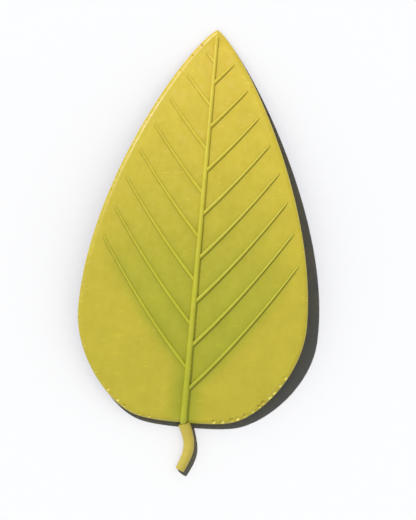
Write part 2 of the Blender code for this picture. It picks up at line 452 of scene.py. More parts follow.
def vein_points(ribs, side, number, margin):
    """Path of one side vein, from the midrib to just short of the margin."""
    first, gap = (ribs.first_right, ribs.gap_right) if side > 0 else (ribs.first_left, ribs.gap_left)
    root = BASE_Y + first + ribs.pitch * number
    path = []
    out = 0.0
    while True:
        here = Vector((out, root + ribs.rise * out + ribs.curl * out * out, 0.0))
        if min((here - point).length for point in margin) < gap:
            break
        path.append(Vector((side * here.x, here.y, 0.0)))
        out += VEIN_STEP
    return path


def stalk_points(stalk, steps):
    """Centre line of the stalk, from the blade to the cut end, lying on the floor."""
    flat = interpolate_bezier(
        Vector((stalk.top_x, 0.0)), Vector((stalk.top_pull_x, stalk.top_pull_y)),
        Vector((stalk.cut_pull_x, stalk.cut_pull_y)), Vector((stalk.cut_x, stalk.cut_y)), steps)
    path = []
    for place in flat:
        near_blade = max(0.0, 1.0 - place.y / (stalk.cut_y * LIFTED_SHARE))
        radius = stalk.top_radius + (stalk.cut_radius - stalk.top_radius) * place.y / stalk.cut_y
        path.append(Vector((place.x, BASE_Y + place.y, radius + stalk.lift * near_blade ** 2)))
    return path


# ---------------------------------------------------------------------------------------------
# Geometry trees
# ---------------------------------------------------------------------------------------------

FLOAT = "NodeSocketFloat"
COLUMN_CROWDING = 1.8       # the blade's columns stand closer towards the margin, where the edge turns
ROW_SPREAD = 1.25           # keeps its rows level where the base margin runs sideways
BORDER = 0.0001             # anything nearer the grid's border than this share counts as on it
SKIN_WELD = 0.002 * MM
TUBE_WELD = 0.001 * MM
RAY_HEIGHT = 0.1            # well above the leaf
BALL_LIFT = 0.4             # height of a dent ball's middle above the skin, in depths of the dent
NOSE_LENGTH = 1.3           # of a rib's round end, in rib radii
LEAST_RADIUS = 0.04         # how far a rib's closed ends narrow, as a share of its radius
RIB_SIDES = 20
STALK_SIDES = 48
STALK_RINGS = 150


def object_geometry(tree, thing):
    node = add(tree, "GeometryNodeObjectInfo", transform_space="RELATIVE")
    feed(tree, node.inputs["Object"], thing)
    return node.outputs["Geometry"]


def own_place(tree):
    return add(tree, "GeometryNodeInputPosition").outputs[0]


def move_points(tree, geometry, position=None, offset=None, selection=None):
    node = add(tree, "GeometryNodeSetPosition")
    feed(tree, node.inputs["Geometry"], geometry)
    for label, value in (("Position", position), ("Offset", offset), ("Selection", selection)):
        if value is not None:
            feed(tree, node.inputs[label], value)
    return node.outputs[0]


def join(tree, parts):
    node = add(tree, "GeometryNodeJoinGeometry")
    for part in parts:
        tree.links.new(part, node.inputs[0])
    return node.outputs[0]


def weld(tree, geometry, distance, selection=True):
    node = add(tree, "GeometryNodeMergeByDistance")
    feed(tree, node.inputs["Geometry"], geometry)
    feed(tree, node.inputs["Selection"], selection)
    feed(tree, node.inputs["Distance"], distance)
    return node.outputs[0]


def keep_value(tree, geometry, name, value, domain="POINT"):
    """Stores a number on the mesh under a name that the material reads."""
    node = add(tree, "GeometryNodeStoreNamedAttribute", data_type="FLOAT", domain=domain)
    feed(tree, node.inputs["Geometry"], geometry)
    feed(tree, node.inputs["Name"], name)
    feed(tree, node.inputs["Value"], value)
    return node.outputs[0]


def noise_here(tree, scale):
    noise = add(tree, "ShaderNodeTexNoise", noise_dimensions="3D")
    feed(tree, noise.inputs["Vector"], own_place(tree))
    noise.inputs["Scale"].default_value = scale
    noise.inputs["Detail"].default_value = 2.0
    return noise.outputs["Fac"]


def read_path(tree, path, share):
    """Place and direction on a path at this share of its length."""
    reader = add(tree, "GeometryNodeSampleCurve", mode="FACTOR", use_all_curves=True)
    feed(tree, reader.inputs["Curves"], path)
    feed(tree, reader.inputs["Factor"], share)
    return split(tree, reader.outputs["Position"]), split(tree, reader.outputs["Tangent"])


def fall_onto(tree, target, x, y):
    """A ray cast straight down onto an object over this place."""
    ray = add(tree, "GeometryNodeRaycast", data_type="FLOAT")
    feed(tree, ray.inputs["Target Geometry"], object_geometry(tree, target))
    feed(tree, ray.inputs["Source Position"], combine(tree, x, y, RAY_HEIGHT))
    feed(tree, ray.inputs["Ray Direction"], (0.0, 0.0, -1.0))
    feed(tree, ray.inputs["Ray Length"], 1.0)
    return ray.outputs["Hit Position"], ray.outputs["Is Hit"]


def unit_ring(tree, sides):
    ring = add(tree, "GeometryNodeCurvePrimitiveCircle", mode="RADIUS")
    ring.inputs["Resolution"].default_value = sides
    ring.inputs["Radius"].default_value = 1.0
    return ring.outputs[0]


def sweep(tree, path, section, radius):
    """A section swept along a path and closed at both ends."""
    upright = add(tree, "GeometryNodeSetCurveNormal", mode="Z_UP")
    feed(tree, upright.inputs["Curve"], path)
    tube = add(tree, "GeometryNodeCurveToMesh")
    feed(tree, tube.inputs["Curve"], upright.outputs[0])
    feed(tree, tube.inputs["Profile Curve"], section)
    feed(tree, tube.inputs["Scale"], radius)
    tube.inputs["Fill Caps"].default_value = True
    return weld(tree, tube.outputs[0], TUBE_WELD)


def draw_to_margin(tree, value, margin, base, tip):
    """A flat grid drawn to the margin. The second output is 1 inside it and 0 on its border."""
    grid = add(tree, "GeometryNodeMeshGrid")
    feed(tree, grid.inputs["Size X"], 2.0)
    feed(tree, grid.inputs["Size Y"], 1.0)
    feed(tree, grid.inputs["Vertices X"], total(tree, value["Columns"], 1.0))
    feed(tree, grid.inputs["Vertices Y"], total(tree, value["Rows"], 1.0))
    flat = split(tree, own_place(tree))
    row = calc(tree, "ADD", flat[1], 0.5, clamp=True)
    near = difference(tree, 1.0, calc(tree, "ABSOLUTE", flat[0]), clamp=True)
    side = difference(tree, 1.0, calc(tree, "POWER", near, COLUMN_CROWDING))
    edge = read_path(tree, margin, row)[0]
    middle_y = blend_numbers(tree, calc(tree, "POWER", row, ROW_SPREAD), base, tip)
    x = product(tree, edge[0], product(tree, side, calc(tree, "SIGN", flat[0])))
    y = blend_numbers(tree, side, middle_y, edge[1])
    inner = product(tree, calc(tree, "GREATER_THAN", near, BORDER),
                    calc(tree, "GREATER_THAN", row, BORDER), calc(tree, "LESS_THAN", row, 1.0 - BORDER))
    keep = add(tree, "GeometryNodeCaptureAttribute", domain="POINT")
    keep.capture_items.new("FLOAT", "Inside")
    feed(tree, keep.inputs["Geometry"], grid.outputs["Mesh"])
    feed(tree, keep.inputs["Inside"], inner)
    drawn = move_points(tree, keep.outputs["Geometry"], position=combine(tree, x, y, 0.0))
    return drawn, keep.outputs["Inside"]


def distance_to_margin(tree, margin):
    mirror = add(tree, "GeometryNodeTransform")
    feed(tree, mirror.inputs["Geometry"], margin)
    mirror.inputs["Scale"].default_value = (-1.0, 1.0, 1.0)
    wire = add(tree, "GeometryNodeCurveToMesh")
    feed(tree, wire.inputs["Curve"], join(tree, (margin, mirror.outputs[0])))
    reach = add(tree, "GeometryNodeProximity", target_element="EDGES")
    feed(tree, reach.inputs[0], wire.outputs[0])
    return reach.outputs["Distance"]


def arch_height(tree, value, base, tip, half):
    """Height of the blade's middle layer: a cubic through four heights along the blade, less the
    droop towards the sides, landing softly on the floor at the tip."""
    here = split(tree, own_place(tree))
    t = calc(tree, "DIVIDE", difference(tree, here[1], base), difference(tree, tip, base), clamp=True)
    s = difference(tree, 1.0, t)
    ss = product(tree, s, s)
    tt = product(tree, t, t)
    arch = product(tree, ss, s, value["Arch Base"])
    for weight, height in ((product(tree, ss, t, 3.0), "Arch Rise"),
                           (product(tree, s, tt, 3.0), "Arch Fall"),
                           (product(tree, tt, t), "Arch Tip")):
        arch = total(tree, arch, product(tree, weight, value[height]))
    out = calc(tree, "DIVIDE", calc(tree, "ABSOLUTE", here[0]), value["Half Width"])
    arch = difference(tree, arch, product(tree, calc(tree, "POWER", out, 2.0), value["Droop"]))
    return calc(tree, "SMOOTH_MAX", arch, half, value["Landing"])


def blade_tree():
    """A blade drawn to a margin path: arched, with a round edge, closed top and bottom."""
    tree, value = new_geometry_tree("Leaf Blade", [
        ("Margin Path", "NodeSocketObject", None),
        ("Rows", "NodeSocketInt", 260), ("Columns", "NodeSocketInt", 96),
        ("Foot Y", FLOAT, 0.0), ("Base Margin", FLOAT, 0.0), ("Blade Length", FLOAT, 0.2),
        ("Half Width", FLOAT, 0.058), ("Thickness", FLOAT, 0.0032), ("Edge Rounding", FLOAT, 0.0023),
        ("Arch Base", FLOAT, 0.0), ("Arch Rise", FLOAT, 0.0), ("Arch Fall", FLOAT, 0.0),
        ("Arch Tip", FLOAT, 0.0), ("Droop", FLOAT, 0.0), ("Landing", FLOAT, 0.001),
        ("Unevenness", FLOAT, 0.0), ("Material", "NodeSocketMaterial", None),
    ])
    margin = object_geometry(tree, value["Margin Path"])
    base = total(tree, value["Foot Y"], value["Base Margin"])
    tip = total(tree, value["Foot Y"], value["Blade Length"])
    drawn, inside = draw_to_margin(tree, value, margin, base, tip)
    sheet = keep_value(tree, drawn, "margin_distance", distance_to_margin(tree, margin))
    named = add(tree, "GeometryNodeInputNamedAttribute", data_type="FLOAT")
    named.inputs["Name"].default_value = "margin_distance"
    depth = named.outputs["Attribute"]
    half = product(tree, value["Thickness"], 0.5)
    arch = arch_height(tree, value, base, tip, half)
    # Slight waves, dying out at the margin
    swell = product(tree, value["Unevenness"], ramp_number(tree, depth, 0.0, 12.0 * MM))
    middle = total(tree, arch, product(tree, either_way(tree, noise_here(tree, 38.0), 2.0), swell))
    # Half the thickness: a quarter round at the margin, full further in
    rise = product(tree, quarter_round(tree, depth, value["Edge Rounding"]), half, inside)
    skins = []
    for side in (1.0, -1.0):
        height = total(tree, middle, product(tree, rise, side))
        skins.append(move_points(tree, sheet, offset=combine(tree, 0.0, 0.0, height)))
    turned = add(tree, "GeometryNodeFlipFaces")
    feed(tree, turned.inputs[0], skins[1])
    both = join(tree, (skins[0], turned.outputs[0]))
    closed = weld(tree, both, SKIN_WELD, selection=calc(tree, "LESS_THAN", inside, 0.5))
    finish_tree(tree, closed, value["Material"])
    return tree


def dent_row(tree, value, row, salt):
    """One row of flattened balls along the margin, which will bite dents out of its shoulder."""
    side, first, last = DENT_ROWS[row]

    def chance(low, high, number):
        node = add(tree, "FunctionNodeRandomValue", data_type="FLOAT")
        feed(tree, node.inputs[2], low)
        feed(tree, node.inputs[3], high)
        feed(tree, node.inputs["Seed"], total(tree, value["Seed"], float(100 * salt + number)))
        return node.outputs[1]

    count = value[row + " Count"]
    cloud = add(tree, "GeometryNodePoints")
    feed(tree, cloud.inputs["Count"], count)
    index = add(tree, "GeometryNodeInputIndex").outputs[0]
    jitter = total(tree, 0.5, product(tree, chance(-0.5, 0.5, 1), value[row + " Jitter"]))
    share = calc(tree, "DIVIDE", total(tree, index, jitter), count)
    along = total(tree, first, product(tree, share, last - first))
    edge, run = read_path(tree, object_geometry(tree, value["Margin Path"]), along)
    # Inwards is to the left of the path, which runs up the right side
    inset = product(tree, value[row + " Inset"], chance(0.85, 1.15, 2))
    x = product(tree, difference(tree, edge[0], product(tree, run[1], inset)), side)
    y = total(tree, edge[1], product(tree, run[0], inset))
    skin = fall_onto(tree, value["Blade"], x, y)[0]
    # The ball's middle lies a little above the skin, and it bites as deep as the dent is
    size = chance(0.85, 1.2, 3)
    depth = product(tree, value[row + " Depth"], size)
    spot = vector_calc(tree, "ADD", skin, combine(tree, 0.0, 0.0, product(tree, depth, BALL_LIFT)))
    ball = add(tree, "GeometryNodeMeshIcoSphere")
    ball.inputs["Radius"].default_value = 1.0
    ball.inputs["Subdivisions"].default_value = 2
    biters = add(tree, "GeometryNodeInstanceOnPoints")
    feed(tree, biters.inputs["Points"], move_points(tree, cloud.outputs[0], position=spot))
    feed(tree, biters.inputs["Instance"], keep_value(tree, ball.outputs["Mesh"], "dented", 1.0, "FACE"))
    # Wide enough that the dent has its full length and width where the ball meets the skin
    height = 1.0 + BALL_LIFT
    spread = 0.5 / math.sqrt(1.0 - (BALL_LIFT / height) ** 2)
    feed(tree, biters.inputs["Scale"], combine(
        tree, product(tree, value[row + " Length"], spread, size),
        product(tree, value[row + " Width"], spread, size), product(tree, depth, height)))
    heading = calc(tree, "ARCTAN2", run[1], product(tree, run[0], side))
    turn = add(tree, "FunctionNodeEulerToRotation")
    feed(tree, turn.inputs[0], combine(tree, 0.0, 0.0, heading))
    feed(tree, biters.inputs["Rotation"], turn.outputs[0])
    return biters.outputs[0]


def dent_tree():
    """Dents bitten out of the shoulder of the margin, in rows."""
    inputs = [("Blade", "NodeSocketObject", None), ("Margin Path", "NodeSocketObject", None),
              ("Seed", "NodeSocketInt", 1), ("Material", "NodeSocketMaterial", None)]
    for row in DENT_ROWS:
        inputs.append((row + " Count", "NodeSocketInt", 10))
        for label in (" Length", " Width", " Depth", " Inset"):
            inputs.append((row + label, FLOAT, 0.001))
        inputs.append((row + " Jitter", FLOAT, 0.5))
    tree, value = new_geometry_tree("Margin Dents", inputs)
    rows = [dent_row(tree, value, row, number) for number, row in enumerate(DENT_ROWS)]
    real = add(tree, "GeometryNodeRealizeInstances")
    feed(tree, real.inputs[0], join(tree, rows))
    cut = add(tree, "GeometryNodeMeshBoolean", operation="DIFFERENCE", solver="EXACT")
    feed(tree, cut.inputs["Mesh 1"], object_geometry(tree, value["Blade"]))
    tree.links.new(real.outputs[0], cut.inputs["Mesh 2"])
    cut.inputs["Self Intersection"].default_value = True
    finish_tree(tree, cut.outputs["Mesh"], value["Material"])
    return tree


def rib_tree():
    """Raised ribs that follow paths over the blade, tapering, with a foot that spreads on the skin."""
    tree, value = new_geometry_tree("Raised Ribs", [
        ("Paths", "NodeSocketObject", None), ("Blade", "NodeSocketObject", None),
        ("Root Radius", FLOAT, 0.001), ("End Radius", FLOAT, 0.0005),
        ("Lift", FLOAT, 0.6), ("Flare", FLOAT, 0.5),
        ("Spacing", FLOAT, 0.0006), ("Root Rounding", FLOAT, 0.0),
        ("Material", "NodeSocketMaterial", None),
    ])
    path = add(tree, "GeometryNodeResampleCurve", mode="LENGTH")
    feed(tree, path.inputs["Curve"], object_geometry(tree, value["Paths"]))
    feed(tree, path.inputs["Length"], value["Spacing"])
    place = add(tree, "GeometryNodeSplineParameter")
    taper = blend_numbers(tree, place.outputs["Factor"], value["Root Radius"], value["End Radius"])
    # The end closes in a round nose; the root does so too where asked
    whole = add(tree, "GeometryNodeSplineLength").outputs["Length"]
    left = difference(tree, whole, place.outputs["Length"])
    nose = quarter_round(tree, left, product(tree, taper, NOSE_LENGTH))
    heel = quarter_round(tree, place.outputs["Length"],
                         calc(tree, "MAXIMUM", value["Root Rounding"], 0.0000001))
    swell = ramp_number(tree, noise_here(tree, 160.0), 0.3, 0.7, 0.95, 1.05, smooth=False)
    closing = calc(tree, "MAXIMUM", product(tree, nose, heel), LEAST_RADIUS)
    radius = product(tree, taper, swell, closing)
    here = split(tree, own_place(tree))
    skin, met = fall_onto(tree, value["Blade"], here[0], here[1])
    raised = combine(tree, 0.0, 0.0, product(tree, radius, value["Lift"]))
    laid = move_points(tree, path.outputs[0], vector_calc(tree, "ADD", skin, raised), selection=met)
    # The section spreads below its middle, where the rib meets the skin
    around = split(tree, own_place(tree))
    below = calc(tree, "MAXIMUM", product(tree, around[0], -1.0), 0.0)
    spread = total(tree, 1.0, product(tree, value["Flare"], product(tree, below, below)))
    section = move_points(tree, unit_ring(tree, RIB_SIDES), combine(
        tree, around[0], product(tree, around[1], spread), 0.0))
    finish_tree(tree, sweep(tree, laid, section, radius), value["Material"])
    return tree


def stalk_tree():
    """A thick stalk swept along its path: slightly uneven, eased at its cut ends, flat where it lies."""
    tree, value = new_geometry_tree("Leaf Stalk", [
        ("Path", "NodeSocketObject", None), ("Top Radius", FLOAT, 0.003), ("Cut Radius", FLOAT, 0.0024),
        ("Edge Easing", FLOAT, 0.0003), ("Material", "NodeSocketMaterial", None),
    ])
    path = add(tree, "GeometryNodeResampleCurve", mode="COUNT")
    feed(tree, path.inputs["Curve"], object_geometry(tree, value["Path"]))
    path.inputs["Count"].default_value = STALK_RINGS
    place = add(tree, "GeometryNodeSplineParameter")
    whole = add(tree, "GeometryNodeSplineLength").outputs["Length"]
    left = difference(tree, whole, place.outputs["Length"])
    to_end = calc(tree, "MINIMUM", place.outputs["Length"], left)
    eased = quarter_round(tree, to_end, value["Edge Easing"])
    pulled_in = product(tree, value["Edge Easing"], difference(tree, 1.0, eased))
    radius = blend_numbers(tree, place.outputs["Factor"], value["Top Radius"], value["Cut Radius"])
    tube = sweep(tree, path.outputs[0], unit_ring(tree, STALK_SIDES), difference(tree, radius, pulled_in))
    normal = add(tree, "GeometryNodeInputNormal").outputs[0]
    push = either_way(tree, noise_here(tree, 150.0), 0.4 * MM)
    uneven = move_points(tree, tube, offset=scale_vector(tree, normal, push))
    here = split(tree, own_place(tree))
    level = combine(tree, here[0], here[1], calc(tree, "MAXIMUM", here[2], 0.0))
    finish_tree(tree, move_points(tree, uneven, position=level), value["Material"])
    return tree


# ---------------------------------------------------------------------------------------------
# Materials
# ---------------------------------------------------------------------------------------------

def blend_colours(tree, factor, a, b):
    """a where factor is 0, b where it is 1."""
    node = add(tree, "ShaderNodeMix", data_type="RGBA", blend_type="MIX", clamp_factor=True)
    feed(tree, node.inputs[0], factor)
    for socket, colour in ((node.inputs[6], a), (node.inputs[7], b)):
        feed(tree, socket, colour if isinstance(colour, bpy.types.NodeSocket) else (*colour, 1.0))
    return node.outputs[2]


def noise_at(tree, vector, stretch, detail=2.0, roughness=0.5):
    """Noise on a vector that is first stretched by the three numbers, in cycles per metre."""
    mapping = add(tree, "ShaderNodeMapping", vector_type="POINT")
    feed(tree, mapping.inputs["Vector"], vector)
    mapping.inputs["Scale"].default_value = stretch
    noise = add(tree, "ShaderNodeTexNoise", noise_dimensions="3D")
    feed(tree, noise.inputs["Vector"], mapping.outputs[0])
    noise.inputs["Scale"].default_value = 1.0
    noise.inputs["Detail"].default_value = detail
    noise.inputs["Roughness"].default_value = roughness
    return noise.outputs["Fac"]


def mesh_value(tree, name):
    """A number that the mesh carries under this name."""
    node = add(tree, "ShaderNodeAttribute", attribute_type="GEOMETRY", attribute_name=name)
    return node.outputs["Fac"]


def tissue_group():
    """Leaf tissue: soft mottling, short pale dashes and fine pores."""
    name = "Leaf Tissue"
    if name in bpy.data.node_groups:
        return bpy.data.node_groups[name]
    group = bpy.data.node_groups.new(name, "ShaderNodeTree")
    new_sockets(group, "INPUT", [
        ("Vector", "NodeSocketVector", None), ("Colour", "NodeSocketColor", None),
        ("Mottle", FLOAT, 0.1), ("Dashes", FLOAT, 0.1),
        ("Smooth Roughness", FLOAT, 0.4), ("Dull Roughness", FLOAT, 0.6),
    ])
    new_sockets(group, "OUTPUT", [
        ("Colour", "NodeSocketColor", None), ("Roughness", FLOAT, None), ("Height", FLOAT, None),
    ])
    start = add(group, "NodeGroupInput").outputs
    end = add(group, "NodeGroupOutput").inputs
    broad = noise_at(group, start["Vector"], (95.0, 80.0, 95.0), detail=3.0)
    patchy = noise_at(group, start["Vector"], (330.0, 240.0, 330.0), detail=3.0, roughness=0.6)
    pores = noise_at(group, start["Vector"], (2600.0, 2200.0, 2600.0), roughness=0.6)
    streaks = noise_at(group, start["Vector"], (210.0, 1150.0, 210.0), detail=1.0)
    dashes = ramp_number(group, streaks, 0.68, 0.74)
    # Values either side of 1 darken or lighten the tissue
    mottle = total(group, either_way(group, broad, 1.1), either_way(group, patchy, 0.75))
    shade = total(group, 1.0, product(group, mottle, start["Mottle"]),
                  product(group, dashes, start["Dashes"]))
    feed(group, end["Colour"], scale_vector(group, start["Colour"], shade))
    dull = total(group, product(group, patchy, 0.7), product(group, pores, 0.3))
    feed(group, end["Roughness"], blend_numbers(
        group, ramp_number(group, dull, 0.35, 0.65), start["Smooth Roughness"], start["Dull Roughness"]))
    feed(group, end["Height"], total(
        group, product(group, pores, 0.18), product(group, patchy, 0.62), product(group, dashes, 0.3)))
    spread_out(group)
    return group


def new_material(name):
    material = bpy.data.materials.new(name)
    material.use_nodes = True
    tree = material.node_tree
    tree.nodes.clear()
    end = add(tree, "ShaderNodeOutputMaterial")
    shader = add(tree, "ShaderNodeBsdfPrincipled")
    tree.links.new(shader.outputs[0], end.inputs["Surface"])
    return material, tree, shader


def object_place(tree):
    """Object coordinates as one vector, and their sideways and lengthwise numbers."""
    vector = add(tree, "ShaderNodeTexCoord").outputs["Object"]
    numbers = split(tree, vector)
    return vector, numbers[0], numbers[1]


def finish_tissue(tree, shader, vector, colour, mottle, dashes, smooth, dull, relief):
    """Runs a colour through the tissue group and feeds the shader."""
    tissue = add(tree, "ShaderNodeGroup", node_tree=tissue_group())
    for label, value in (("Vector", vector), ("Colour", colour), ("Mottle", mottle), ("Dashes", dashes),
                         ("Smooth Roughness", smooth), ("Dull Roughness", dull)):
        feed(tree, tissue.inputs[label], value)
    bump = add(tree, "ShaderNodeBump")
    bump.inputs["Distance"].default_value = relief
    feed(tree, bump.inputs["Height"], tissue.outputs["Height"])
    feed(tree, shader.inputs["Base Color"], tissue.outputs["Colour"])
    feed(tree, shader.inputs["Roughness"], tissue.outputs["Roughness"])
    feed(tree, shader.inputs["Normal"], bump.outputs[0])
    spread_out(tree)


def along_blade(tree, y):
    """0 at the foot of the blade and 1 at its tip."""
    return calc(tree, "DIVIDE", difference(tree, y, BASE_Y), BLADE_LENGTH)


def colours_along(tree, along, stops):
    """Blends colours one after another: (place along the blade, colour)."""
    (last, colour), *rest = stops
    for place, following in rest:
        colour = blend_colours(tree, ramp_number(tree, along, last, place, smooth=False), colour, following)
        last = place
    return colour


def vein_places(tree, x, y, ribs):
    """From the rule the veins follow: the height on the midrib from which a vein would reach this
    place, less that of the lowest vein; and how far above (+) or below (-) the nearest vein it lies."""
    out = calc(tree, "ABSOLUTE", x)
    climb = total(tree, product(tree, out, ribs.rise), product(tree, out, out, ribs.curl))
    level = difference(tree, difference(tree, y, BASE_Y), climb)
    first = blend_numbers(tree, calc(tree, "GREATER_THAN", x, 0.0), ribs.first_left, ribs.first_right)
    above = difference(tree, level, first)
    steps = calc(tree, "DIVIDE", above, ribs.pitch)
    number = calc(tree, "MAXIMUM", calc(tree, "ROUND", steps), 0.0)
    number = calc(tree, "MINIMUM", number, float(ribs.veins_per_side - 1))
    apart = product(tree, difference(tree, steps, number), ribs.pitch)
    slope = total(tree, ribs.rise, product(tree, out, 2.0 * ribs.curl))
    tilt = calc(tree, "SQRT", total(tree, 1.0, product(tree, slope, slope)))
    return above, calc(tree, "DIVIDE", apart, tilt)


def green_mask(tree, x, y, along, ribs):
    """Where green lingers: among the veins of the lower half, and beside the ribs there."""
    above_lowest, from_vein = vein_places(tree, x, y, ribs)
    heart = combine(tree, x, difference(tree, y, BASE_Y + 28.0 * MM), 0.0)
    round_heart = ramp_number(tree, vector_calc(tree, "LENGTH", heart), 12.0 * MM, 125.0 * MM, 1.0, 0.0)
    among = product(tree, ramp_number(tree, above_lowest, -15.0 * MM, 5.0 * MM), round_heart)
    inside = ramp_number(tree, mesh_value(tree, "margin_distance"), 1.0 * MM, 19.0 * MM)
    to_vein = calc(tree, "ABSOLUTE", from_vein)
    close = product(tree, ramp_number(tree, to_vein, 0.6 * MM, 6.5 * MM, 0.26, 0.0), round_heart)
    veined = product(tree, total(tree, product(tree, among, 0.76), close), inside)
    to_midrib = calc(tree, "ABSOLUTE", x)
    beside = product(tree, ramp_number(tree, to_midrib, 1.5 * MM, 12.0 * MM, 1.0, 0.0),
                     ramp_number(tree, along, 0.05, 0.60, 1.0, 0.0))
    return calc(tree, "MINIMUM", calc(tree, "MAXIMUM", veined, beside), 1.0)


def dry_mask(tree, vector, x, along):
    """Dry tissue: spots close to the left margin, most of all by the tip, and a faint patchy flush
    in the upper half of the blade."""
    spotted = ramp_number(tree, noise_at(tree, vector, (420.0, 420.0, 420.0)), 0.53, 0.60)
    close = ramp_number(tree, mesh_value(tree, "margin_distance"), 1.2 * MM, 2.8 * MM, 1.0, 0.0)
    left = ramp_number(tree, x, -2.0 * MM, 1.0 * MM, 1.0, 0.0)
    much = ramp_number(tree, along, 0.25, 0.98, 0.25, 1.0)
    edge_spots = product(tree, spotted, close, product(tree, left, much))
    flush = noise_at(tree, vector, (150.0, 190.0, 150.0), detail=4.0, roughness=0.65)
    warm = product(tree, ramp_number(tree, flush, 0.50, 0.66),
                   ramp_number(tree, along, 0.30, 0.90, 0.0, 0.20))
    return calc(tree, "MAXIMUM", edge_spots, warm)


def painted_vein_shade(tree, x, y, ribs):
    """Painted shade in the creases beside each side vein: a darker colour, most of all below it on
    the right, away from the light, fading out before the vein's end."""
    from_vein = vein_places(tree, x, y, ribs)[1]
    ended = ramp_number(tree, mesh_value(tree, "margin_distance"), 9.0 * MM, 4.5 * MM)
    depth = ramp_number(tree, x, -1.0 * MM, 1.0 * MM, 0.84, 0.62)
    below = ramp_number(tree, from_vein, -1.5 * MM, -0.6 * MM, 1.0, depth)
    above = ramp_number(tree, from_vein, 0.5 * MM, 1.3 * MM, 0.92, 1.0)
    vein_shade = blend_numbers(tree, calc(tree, "GREATER_THAN", from_vein, 0.0), below, above)
    return calc(tree, "MAXIMUM", vein_shade, ended)


def blade_material(colours, ribs):
    material, tree, shader = new_material("blade_tissue")
    vector, x, y = object_place(tree)
    along = along_blade(tree, y)
    colour = colours_along(tree, along, (
        (0.0, colours.foot_yellow), (0.35, colours.lower_yellow), (0.72, colours.upper_yellow),
        (1.0, colours.tip_yellow)))
    colour = blend_colours(tree, green_mask(tree, x, y, along, ribs), colour, colours.rib_green)
    dry = product(tree, dry_mask(tree, vector, x, along), 0.7)
    colour = blend_colours(tree, dry, colour, colours.dry_margin)
    # Painted highlight: a pale colour on the faces of the dents, in patches, less and less towards the tip
    patches = noise_at(tree, vector, (260.0, 260.0, 260.0), detail=1.0)
    dent_highlight_patches = product(tree, ramp_number(tree, patches, 0.36, 0.58, 0.1, 1.0), difference(tree, 1.0, along))
    colour = blend_colours(tree, product(tree, mesh_value(tree, "dented"), dent_highlight_patches), colour, colours.dent_highlight)
    # Painted shade: darker colour beside the side veins, where their shadows fall
    colour = scale_vector(tree, colour, painted_vein_shade(tree, x, y, ribs))
    finish_tissue(tree, shader, vector, colour, mottle=0.18, dashes=0.12, smooth=0.30, dull=0.41,
                  relief=0.05 * MM)
    return material


def rib_material(colours):
    material, tree, shader = new_material("rib_tissue")
    vector, _, y = object_place(tree)
    colour = colours_along(tree, along_blade(tree, y), (
        (0.0, colours.rib_foot), (0.40, colours.rib_middle), (0.95, colours.rib_tip)))
    finish_tissue(tree, shader, vector, colour, mottle=0.18, dashes=0.06, smooth=0.34, dull=0.50,
                  relief=0.03 * MM)
    return material


def stalk_material(colours):
    material, tree, shader = new_material("stalk_tissue")
    vector = object_place(tree)[0]
    flecks = ramp_number(tree, noise_at(tree, vector, (520.0, 260.0, 520.0), detail=3.0), 0.60, 0.74)
    colour = blend_colours(tree, product(tree, flecks, 0.35), colours.stalk_tan, colours.stalk_fleck)
    finish_tissue(tree, shader, vector, colour, mottle=0.20, dashes=0.05, smooth=0.36, dull=0.55,
                  relief=0.06 * MM)
    return material


def floor_material(stage):
    """Pale floor with painted shade: its colour darkens close to what lies on it, by the contact shade."""
    material, tree, shader = new_material("studio_floor")
    near = add(tree, "ShaderNodeAmbientOcclusion", samples=16)
    near.inputs["Distance"].default_value = stage.contact_reach
    # Painted shade: ambient occlusion darkens the floor's base colour close to the leaf, less in blue
    shade = scale_vector(tree, stage.contact, difference(tree, 1.0, near.outputs["AO"]))
    left = vector_calc(tree, "SUBTRACT", (1.0, 1.0, 1.0), shade)
    feed(tree, shader.inputs["Base Color"], vector_calc(tree, "MULTIPLY", stage.floor_colour, left))
    shader.inputs["Roughness"].default_value = 1.0
    shader.inputs["Specular IOR Level"].default_value = 0.0
    return material


# ---------------------------------------------------------------------------------------------
# Operators
# ---------------------------------------------------------------------------------------------

LEAF_PIECES = ("blade", "midrib", "side_veins", "stalk")
RIB_SPACING = 0.4 * MM
SENSOR = 36.0               # millimetres, the camera's sensor


def needed_piece(name):
    piece = bpy.data.objects.get(name)
    if piece is None:
        raise RuntimeError(f"{name} is missing: build it first")
    return piece


def dent_sizes(dents):
    """For each row of dents: their count, length, width, depth, inset and jitter."""
    def sized(scale):
        return scale * dents.length, scale * dents.width, scale * dents.depth, dents.inset
    notch = (dents.notch_length, dents.width, dents.notch_depth, dents.notch_inset)
    return {
        "Lower Right": (dents.lower_right, *sized(1.0), 0.45),
        "Lower Left": (dents.lower_left, *sized(dents.faint), 0.7),
        "Upper Right": (dents.upper_right, *sized(dents.small), 0.9),
        "Upper Left": (dents.upper_left, *sized(dents.small), 0.9),
        "Tip": (dents.tip_notches, *notch, 0.0),
    }


def grow_ribs(scene, name, lines, radii, root_rounding):
    """Grows ribs along these lines over the finished blade, from the first radius to the second."""
    ribs = scene.picked_leaf_ribs
    paths = guide_curve(name + "_paths", lines)
    piece = grow(name, bpy.data.node_groups.get("Raised Ribs") or rib_tree(), {
        "Paths": paths, "Blade": needed_piece("blade"), "Root Radius": radii[0], "End Radius": radii[1],
        "Lift": ribs.lift, "Flare": ribs.flare, "Spacing": RIB_SPACING, "Root Rounding": root_rounding,
        "Material": bpy.data.materials.get("rib_tissue") or rib_material(scene.picked_leaf_colours),
    })
    drop(paths)
    show_as_leaf(piece)


